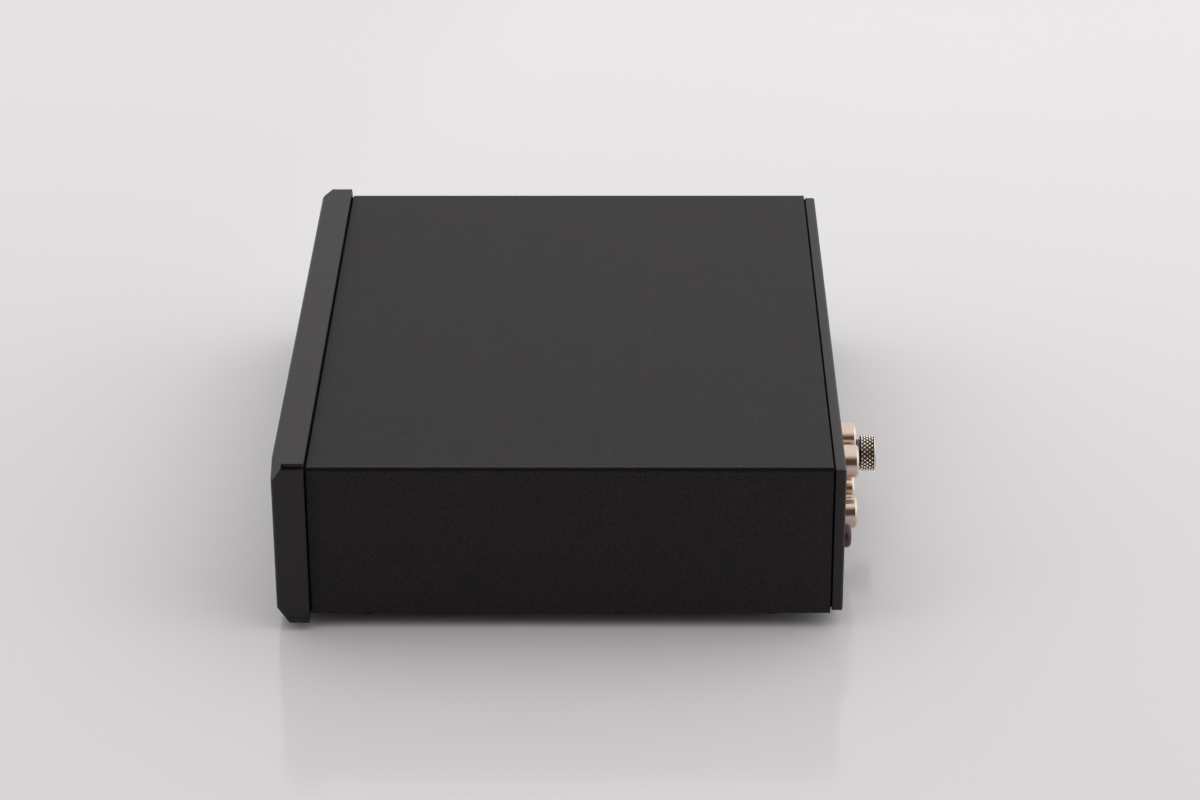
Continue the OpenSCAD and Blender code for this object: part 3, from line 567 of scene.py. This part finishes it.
def softened(node, radius):
    """A copy of a node with every edge rounded."""
    mesh = nodes[node].data.copy()
    shape = bmesh.new()
    shape.from_mesh(mesh)
    bmesh.ops.remove_doubles(shape, verts=shape.verts, dist=MERGE_DISTANCE)
    bmesh.ops.dissolve_limit(
        shape, angle_limit=math.radians(FLAT_DEGREES), verts=shape.verts, edges=shape.edges)
    shape.to_mesh(mesh)
    shape.free()
    piece = new_object(node + "_finished", mesh)
    bevel = piece.modifiers.new("edges", "BEVEL")
    bevel.width = radius
    bevel.segments = 3
    bevel.limit_method = "ANGLE"
    bevel.angle_limit = math.radians(BEVEL_DEGREES)
    settle(piece)
    smooth(piece, sharp_degrees=50)
    piece.modifiers.new("flat_faces", "WEIGHTED_NORMAL").keep_sharp = True
    settle(piece)
    hand_over(piece, node)
    return piece


for node, radius in ROUNDING.items():
    made = softened(node, radius)
    print(made.name, "edges rounded by", round(radius / mm, 2), "mm")

# %% [markdown]
# ## Turned pieces
#
# The thumb nut, the post and the screws are turned on a lathe, so each is an outline spun round
# an axis. The outline is a list of radius and height, and the rings are close together only
# where a knurl or a thread is going to move them.


# %% Spin an outline
def spin(name, outline, steps, closed):
    """A solid of revolution about Z from points of radius and height, from the bottom up."""
    shape = bmesh.new()
    turns = [2 * math.pi * step / steps for step in range(steps)]
    rings = []
    for radius, height in outline:
        if radius < 1e-9:            # a point on the axis is one vertex for the whole ring
            rings.append([shape.verts.new((0, 0, height))] * steps)
            continue
        rings.append([
            shape.verts.new((radius * math.cos(turn), radius * math.sin(turn), height))
            for turn in turns])
    pairs = list(zip(rings, rings[1:]))
    if closed:
        pairs.append((rings[-1], rings[0]))
    for low, high in pairs:
        for step in range(steps):
            after = (step + 1) % steps
            corners = [low[step], low[after], high[after], high[step]]
            unique = list(dict.fromkeys(corners))
            if len(unique) > 2:
                shape.faces.new(unique)
    bmesh.ops.recalc_face_normals(shape, faces=shape.faces)
    mesh = bpy.data.meshes.new(name)
    shape.to_mesh(mesh)
    shape.free()
    return new_object(name, mesh)


def climb(radius, start, end, rise):
    """Points up a straight wall, about rise apart."""
    count = max(1, round((end - start) / rise))
    return [(radius, start + (end - start) * step / count) for step in range(count + 1)]


# %% [markdown]
# ## Knurl and thread as Geometry Nodes
#
# A diamond knurl is two sets of grooves that wind round the nut in opposite directions. At each
# point the nearer groove sets the depth, so the grooves leave a field of small pyramids. A
# thread is one groove that winds round once for each pitch. Both are rules on the angle and the
# height of a point, and both only move points inwards, so the piece stays inside its solid.


# %% Start, end and run a tree
def surface_tree(name, sizes):
    """A Geometry Nodes group with a named input for each size, and its recipe."""
    group = bpy.data.node_groups.new(name, "GeometryNodeTree")
    face = group.interface
    face.new_socket("Geometry", in_out="INPUT", socket_type="NodeSocketGeometry")
    for size, value in sizes.items():
        face.new_socket(size, in_out="INPUT", socket_type="NodeSocketFloat").default_value = value
    face.new_socket("Finish", in_out="INPUT", socket_type="NodeSocketMaterial")
    face.new_socket("Geometry", in_out="OUTPUT", socket_type="NodeSocketGeometry")
    recipe = Recipe(group)
    given = group.nodes.new("NodeGroupInput")
    inputs = {output.name: Term(recipe, output) for output in given.outputs if output.name}
    return group, recipe, inputs


def close_tree(group, recipe, geometry, finish):
    """Ends a tree in Realize Instances and Set Material."""
    real = recipe.node("GeometryNodeRealizeInstances", inputs={0: geometry})
    painted = recipe.node("GeometryNodeSetMaterial", inputs={"Geometry": real, "Material": finish})
    group.links.new(painted.socket, group.nodes.new("NodeGroupOutput").inputs[0])


def run_tree(piece, group, values):
    """Runs a tree on a piece with these inputs, and keeps the result as plain mesh."""
    modifier = piece.modifiers.new(group.name, "NODES")
    modifier.node_group = group
    for item in group.interface.items_tree:
        if item.in_out == "INPUT" and item.name in values:
            modifier[item.identifier] = values[item.name]
    settle(piece)


# %% Move points towards the axis
def groove_field(recipe, inputs):
    """Place, radius, turn from 0 to 1, and a mask that is 1 in the band and fades at its ends."""
    x, y, z = recipe.apart(recipe.node("GeometryNodeInputPosition"))
    radius = (x * x + y * y).maths("SQRT")
    turn = y.maths("ARCTAN2", x) / (2 * math.pi)
    from_start = (z - inputs["Start"]) / inputs["Fade"]
    to_end = (inputs["End"] - z) / inputs["Fade"]
    on_wall = radius > inputs["Radius"] * 0.999
    band = from_start.maths("MINIMUM", to_end).clamped() * on_wall
    return x, y, z, radius, turn, band


def pull_in(recipe, inputs, x, y, radius, depth):
    """Moves the points towards the axis by depth."""
    share = depth / radius * -1
    offset = recipe.node("ShaderNodeCombineXYZ", inputs={0: x * share, 1: y * share, 2: 0.0})
    return recipe.node("GeometryNodeSetPosition", inputs={
        "Geometry": inputs["Geometry"], "Offset": offset})


def zigzag(steps):
    """1 at every whole number and 0 halfway between."""
    return (steps.maths("FRACT") - 0.5).maths("ABSOLUTE") * 2


# %% Trees that cut a knurl and a thread
def knurl_tree():
    group, recipe, inputs = surface_tree("diamond_knurl", {
        "Radius": 4 * mm, "Start": 0.0, "End": 4 * mm, "Fade": 0.2 * mm,
        "Diamonds": 36.0, "Pitch": 0.8 * mm, "Depth": 0.3 * mm, "Flat": 0.2})
    x, y, z, radius, turn, band = groove_field(recipe, inputs)
    rise = (z - inputs["Start"]) / inputs["Pitch"]
    grooves = [zigzag(turn * inputs["Diamonds"] + way) for way in (rise, rise * -1)]
    groove = grooves[0].maths("MAXIMUM", grooves[1])
    cut = ((groove - inputs["Flat"]) / (1 - inputs["Flat"])).maths("MAXIMUM", 0)
    cut_surface = pull_in(recipe, inputs, x, y, radius, cut * band * inputs["Depth"])
    close_tree(group, recipe, cut_surface, inputs["Finish"])
    return group


def thread_tree():
    group, recipe, inputs = surface_tree("screw_thread", {
        "Radius": 2 * mm, "Start": 0.0, "End": 6 * mm, "Fade": 0.4 * mm,
        "Pitch": 0.7 * mm, "Depth": 0.35 * mm})
    x, y, z, radius, turn, band = groove_field(recipe, inputs)
    steepness, crest_width = 1.15, 0.1
    wall = (zigzag((z / inputs["Pitch"]) - turn) * steepness - crest_width).clamped()
    cut_surface = pull_in(recipe, inputs, x, y, radius, wall * band * inputs["Depth"])
    close_tree(group, recipe, cut_surface, inputs["Finish"])
    return group


diamond_knurl = knurl_tree()
screw_thread = thread_tree()
print("trees:", diamond_knurl.name, screw_thread.name)

# %% [markdown]
# ## Thumb nut
#
# The nut is about nine millimetres across. Its knurl stops a little short of both ends, where
# the lathe has cut a bevel, and the bevel at the open end is what catches the light. Two ways
# to make the diamonds would be small pyramids copied round a cylinder, or grooves cut into one
# surface. The grooves give one closed mesh with no hidden faces, so they are used here.

# %% Sizes of the thumb nut
KNURL_DIAMONDS = 24
KNURL_ROWS = 2.4
KNURL_DEPTH = 0.4 * mm
KNURL_FADE = 0.03 * mm
KNURL_FLAT = 0.35            # the share of a diamond that is left uncut
POINTS_PER_DIAMOND = 14
NUT_BEVEL = 0.3 * mm
NUT_LAND = 0.04 * mm
STUD_RADIUS = 2 * mm
THREAD_PLAY = 0.05 * mm


def middle(low, high):
    return (low + high) / 2


knob_low, knob_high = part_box("ground_knob")
knob_radius = (knob_high.x - knob_low.x) / 2
knob_length = knob_high.y - knob_low.y
knob_bore = STUD_RADIUS + THREAD_PLAY
knurl_start = NUT_BEVEL + NUT_LAND
knurl_end = knob_length - NUT_BEVEL - NUT_LAND
knurl_pitch = (knob_length - 2 * knurl_start) / KNURL_ROWS
axis_x, axis_z = middle(knob_low.x, knob_high.x), middle(knob_low.z, knob_high.z)
print("nut in mm:", round(2 * knob_radius / mm, 2), "x", round(knob_length / mm, 2))


# %% Knurled thumb nut
def stand_at(piece, x, y, z):
    """Turns a piece that was built up Z to point to the rear, and sets its foot at a point."""
    piece.data.transform(
        Matrix.Translation((x, y, z)) @ Matrix.Rotation(-math.pi / 2, 4, "X"))


knob = spin("knurled_thumb_nut", [
    (knob_bore, 0), (knob_radius - NUT_BEVEL, 0),
    *climb(knob_radius, NUT_BEVEL, knurl_start, NUT_LAND),
    *climb(knob_radius, knurl_start, knurl_end, knurl_pitch / POINTS_PER_DIAMOND)[1:],
    (knob_radius, knob_length - NUT_BEVEL), (knob_radius - NUT_BEVEL, knob_length),
    (knob_bore, knob_length)], KNURL_DIAMONDS * POINTS_PER_DIAMOND, closed=True)
run_tree(knob, diamond_knurl, {
    "Radius": knob_radius, "Start": knurl_start, "End": knurl_end, "Fade": KNURL_FADE,
    "Diamonds": float(KNURL_DIAMONDS), "Pitch": knurl_pitch, "Depth": KNURL_DEPTH,
    "Flat": KNURL_FLAT, "Finish": finishes["nickel_brass"]})
stand_at(knob, axis_x, knob_low.y, axis_z)
smooth(knob, sharp_degrees=28)
hand_over(knob, "ground_knob", knurled_plating(
    "knurled_plating", (0.88, 0.80, 0.70), 0.14, (axis_x, axis_z), knob_radius, KNURL_DEPTH))
print(knob.name, "faces:", len(knob.data.polygons))

# %% [markdown]
# ## Threaded post
#
# The post is one turned piece: a flange that sits on the rear panel, a plain neck, and a thread
# that the thumb nut runs on. A short stretch of thread shows between the neck and the nut's
# washer, and the thread's end shows in the nut's bore.

# %% Threaded post
POST_FLANGE = 0.9 * mm
POST_NECK_RADIUS = 2.75 * mm
POST_NECK_END = 4.4 * mm
THREAD_PITCH = 0.7 * mm
THREAD_DEPTH = 0.36 * mm
THREAD_ROWS = 12
THREAD_STEPS = 72
STUD_BEVEL = 0.35 * mm
EDGE = 0.12 * mm

post_low, post_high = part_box("ground_post")
rear_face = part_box("rear_panel")[1].y
panel = rear_face - post_low.y
post_length = post_high.y - post_low.y
flange_radius = (post_high.x - post_low.x) / 2
row = THREAD_PITCH / THREAD_ROWS
post = spin("threaded_post", [
    (0, 0), (STUD_RADIUS - STUD_BEVEL, 0), (STUD_RADIUS, STUD_BEVEL),
    *climb(STUD_RADIUS, STUD_BEVEL, panel, row)[1:],
    (flange_radius - EDGE, panel), (flange_radius, panel + EDGE),
    (flange_radius, panel + POST_FLANGE - EDGE), (flange_radius - EDGE, panel + POST_FLANGE),
    (POST_NECK_RADIUS, panel + POST_FLANGE), (POST_NECK_RADIUS, panel + POST_NECK_END - EDGE),
    (POST_NECK_RADIUS - EDGE, panel + POST_NECK_END),
    *climb(STUD_RADIUS, panel + POST_NECK_END, post_length - STUD_BEVEL, row),
    (STUD_RADIUS - STUD_BEVEL, post_length), (0, post_length)], THREAD_STEPS, closed=False)
run_tree(post, screw_thread, {
    "Radius": STUD_RADIUS, "Start": 0.0, "End": post_length,
    "Pitch": THREAD_PITCH, "Depth": THREAD_DEPTH, "Finish": dark_nickel})
stand_at(post, axis_x, post_low.y, axis_z)
smooth(post, sharp_degrees=40)
hand_over(post, "ground_post", dark_nickel)
print("post length in mm:", round(post_length / mm, 2), "faces:", len(post.data.polygons))

# %% [markdown]
# ## Screws
#
# Two black pan-head screws hold the rear panel and four hold the cover from below. They are one
# part, bought by the bag, so one screw is modelled in full: a domed head, a cross recess with
# sloping walls and a threaded shank. Geometry Nodes then set it on a point for each hole, and
# turn each one by a random amount, because no two screws stop at the same angle.


# %% Cross recess
def arc(centre_radius, centre_height, radius, start, end, steps):
    """Points along an arc of an outline, with its angles in degrees."""
    angles = [math.radians(start + (end - start) * step / steps) for step in range(steps + 1)]
    return [(centre_radius + radius * math.cos(angle), centre_height + radius * math.sin(angle))
            for angle in angles]


WEDGE_FOOT_REACH = 0.45      # the wedge at its bottom, as a share of its top
WEDGE_FOOT_WIDTH = 0.7


def cross_cutter(reach, width, top, bottom):
    """Two crossed wedges that are narrower at the bottom, as the point of a screwdriver is."""
    shape = bmesh.new()
    for turn in (0, math.pi / 2):
        made = bmesh.ops.create_cube(shape, size=1.0)["verts"]
        for corner in made:
            low = corner.co.z < 0
            corner.co.x *= reach * (WEDGE_FOOT_REACH if low else 1.0) * 2
            corner.co.y *= width * (WEDGE_FOOT_WIDTH if low else 1.0)
            corner.co.z = bottom if low else top
        bmesh.ops.rotate(shape, verts=made, cent=(0, 0, 0), matrix=Matrix.Rotation(turn, 3, "Z"))
    mesh = bpy.data.meshes.new("screwdriver_cross")
    shape.to_mesh(mesh)
    shape.free()
    return new_object("screwdriver_cross", mesh)


# %% One pan-head screw
SCREW_RADIUS = 1.5 * mm
SCREW_PITCH = 0.5 * mm
SCREW_THREAD_DEPTH = 0.25 * mm
SCREW_ROWS = 8
SCREW_STEPS = 48
SCREW_TIP = 0.3 * mm
HEAD_EDGE = 0.1 * mm
RIM_SHARE = 0.4              # of the head's height
DOME_STEPS = 8
RECESS_REACH = 0.52          # of the head's radius
RECESS_WIDTH = 0.26          # of the head's radius
RECESS_FLOOR = 0.25          # of the head's height
RECESS_OVERSHOOT = 0.2 * mm


def pan_screw(name, head_radius, head_height, shank, finish):
    """A pan-head screw that stands on its seat at height 0, shank downwards."""
    rim = head_height * RIM_SHARE
    crown = head_height - rim
    screw = spin(name, [
        (0, -shank), (SCREW_RADIUS - SCREW_TIP, -shank),
        *climb(SCREW_RADIUS, -shank + SCREW_TIP, 0, SCREW_PITCH / SCREW_ROWS),
        (head_radius - HEAD_EDGE, 0), (head_radius, HEAD_EDGE),
        *arc(head_radius - crown, rim, crown, 0, 90, DOME_STEPS),
        (0, head_height)], SCREW_STEPS, closed=False)
    run_tree(screw, screw_thread, {
        "Radius": SCREW_RADIUS, "Start": -shank, "End": 0.0, "Fade": SCREW_TIP,
        "Pitch": SCREW_PITCH, "Depth": SCREW_THREAD_DEPTH, "Finish": finish})
    cutter = cross_cutter(
        head_radius * RECESS_REACH, head_radius * RECESS_WIDTH,
        head_height + RECESS_OVERSHOOT, head_height * RECESS_FLOOR)
    recess = screw.modifiers.new("recess", "BOOLEAN")
    recess.operation = "DIFFERENCE"
    recess.object = cutter
    recess.solver = "EXACT"
    recess.use_self = True       # the two wedges of the cross run through each other
    settle(screw)
    bpy.data.objects.remove(cutter)
    return screw


# %% A tree that sets a screw in each hole
def screw_set_tree():
    group, recipe, inputs = surface_tree("screw_set", {"Tilt": 0.0, "Seed": 3.0})
    group.interface.new_socket("Screw", in_out="INPUT", socket_type="NodeSocketObject")
    given = inputs["Geometry"].socket.node
    screw = recipe.node(
        "GeometryNodeObjectInfo", inputs={"Object": Term(recipe, given.outputs["Screw"])},
        output="Geometry")
    points = recipe.node("GeometryNodeMeshToPoints", inputs={"Mesh": inputs["Geometry"]})
    tilt = recipe.node("ShaderNodeCombineXYZ", inputs={0: inputs["Tilt"], 1: 0.0, 2: 0.0})
    held = recipe.node("GeometryNodeInstanceOnPoints", inputs={
        "Points": points, "Instance": screw, "Rotation": tilt})
    chance = recipe.node("FunctionNodeRandomValue", {"data_type": "FLOAT"}, {
        2: 0.0, 3: 2 * math.pi, "Seed": inputs["Seed"]}, output=1)
    spin_by = recipe.node("ShaderNodeCombineXYZ", inputs={0: 0.0, 1: 0.0, 2: chance})
    turned = recipe.node("GeometryNodeRotateInstances", inputs={
        "Instances": held, "Rotation": spin_by, "Local Space": True})
    close_tree(group, recipe, turned, inputs["Finish"])
    return group


screw_set = screw_set_tree()


def set_screws(name, node, seats, tilt, head_radius, head_height, shank, seed):
    """Screws on these seats, as one piece that stands for the node."""
    finish = finishes[slot_of[node]]
    screw = pan_screw(name + "_pattern", head_radius, head_height, shank, finish)
    mesh = bpy.data.meshes.new(name)
    mesh.from_pydata(seats, [], [])
    piece = new_object(name, mesh)
    run_tree(piece, screw_set, {
        "Screw": screw, "Tilt": tilt, "Seed": float(seed), "Finish": finish})
    bpy.data.objects.remove(screw)
    smooth(piece, sharp_degrees=35)
    hand_over(piece, node)
    print(name, "screws:", len(seats), "faces:", len(piece.data.polygons))


# %% Screws of the rear panel and the cover
REAR_HEAD = (2.95 * mm, 1.9 * mm)       # radius and height
COVER_HEAD = (2.8 * mm, 1.8 * mm)

low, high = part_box("rear_screws")
rear_seats = [(x, rear_face, middle(low.z, high.z))
              for x in (low.x + REAR_HEAD[0], high.x - REAR_HEAD[0])]
set_screws("rear_panel_screws", "rear_screws", rear_seats, -math.pi / 2, *REAR_HEAD,
           rear_face - low.y, seed=3)

low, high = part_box("cover_screws")
cover_seats = [(x, y, cover_low.z)
               for x in (low.x + COVER_HEAD[0], high.x - COVER_HEAD[0])
               for y in (low.y + COVER_HEAD[0], high.y - COVER_HEAD[0])]
set_screws("cover_lip_screws", "cover_screws", cover_seats, math.pi, *COVER_HEAD,
           high.z - cover_low.z, seed=8)

# %% [markdown]
# ## Table
#
# The case stands on a pale glossy table, whose gloss keeps a faint mirror image of the case. The
# table is a single square, much wider than the view, and its colour is painted a little darker
# towards the camera: painted shade, for the light that falls off on the near side.

# %% Table
TABLE_REACH = 6.0
TABLE_FAR_SHADE = (0.86, 0.85, 0.85)
TABLE_NEAR_PAINTED_SHADE = (0.68, 0.67, 0.67)
TABLE_HAZE = 0.12            # size of a patch of haze, in metres
DARKENS_FROM, DARKENS_OVER = -0.3, 0.7


def table_finish():
    material, recipe, shader, place = new_finish("table_top")
    haze = recipe.noise(place, TABLE_HAZE, detail=3.0)
    # Painted shade: the table's colour darkens towards the camera.
    near = recipe.apart(place)[0].ramp(DARKENS_FROM, DARKENS_OVER)
    set_shader(
        recipe, shader,
        base_color=recipe.between(0.9 * near + 0.1 * haze, TABLE_FAR_SHADE, TABLE_NEAR_PAINTED_SHADE),
        roughness=0.1 + 0.04 * haze,
        specular_ior_level=0.3,
    )
    return material


table_mesh = bpy.data.meshes.new("table_top")
table_mesh.from_pydata(
    [(-TABLE_REACH, -TABLE_REACH, 0), (TABLE_REACH, -TABLE_REACH, 0),
     (TABLE_REACH, TABLE_REACH, 0), (-TABLE_REACH, TABLE_REACH, 0)], [], [(0, 1, 2, 3)])
table_mesh.materials.append(table_finish())
table_top = new_object("table_top", table_mesh)
print("table side in m:", 2 * TABLE_REACH)

# %% [markdown]
# ## Light
#
# A broad soft lamp hangs over the far side of the table, so the top of the case is lighter than
# the side that faces the camera. The studio itself, which is the world, is bright all round and
# dark behind the camera: that dark zone is the brown band across the gold shells.


# %% Soft lamp
def soft_lamp(name, place, target, width, height, power):
    lamp = new_object(name, bpy.data.lights.new(name, "AREA"))
    lamp.data.shape = "RECTANGLE"
    lamp.data.size = width
    lamp.data.size_y = height
    lamp.data.energy = power
    lamp.location = place
    aim = Vector(target) - Vector(place)
    lamp.rotation_euler = aim.to_track_quat("-Z", "Y").to_euler()
    print(name, "watts:", power)


soft_lamp("overhead_softbox", (-0.5, 0.4, 1.3), (0, 0, 0), width=3.2, height=3.2, power=9)

# %% Studio
STUDIO_DIM = (0.30, 0.295, 0.30)
STUDIO_BRIGHT = (1.42, 1.40, 1.42)
DARK_ZONE = (0.10, 0.07, 0.055)
# Each pair is where a change starts and how long it is, on the unit sphere of directions.
TOWARDS_CAMERA = (0.45, 0.25)
OVERHEAD = (0.6, 0.34)


def studio_world():
    """A studio that is bright all round and above, and dark behind the camera."""
    world = bpy.data.worlds.new("studio")
    world.use_nodes = True
    bpy.context.scene.world = world
    recipe = Recipe(world.node_tree)
    x, y, z = recipe.apart(recipe.node("ShaderNodeTexCoord", output="Generated"))
    above = z.ramp(*OVERHEAD)
    front = x.ramp(*TOWARDS_CAMERA)
    around = recipe.between(0.38 + 0.55 * (y * y) + 0.12 * y, STUDIO_DIM, STUDIO_BRIGHT)
    sky = recipe.between(front * (1 - above), around, DARK_ZONE)
    recipe.feed(world.node_tree.nodes["Background"].inputs["Color"], sky)
    print(world.name, "nodes:", len(world.node_tree.nodes))


studio_world()
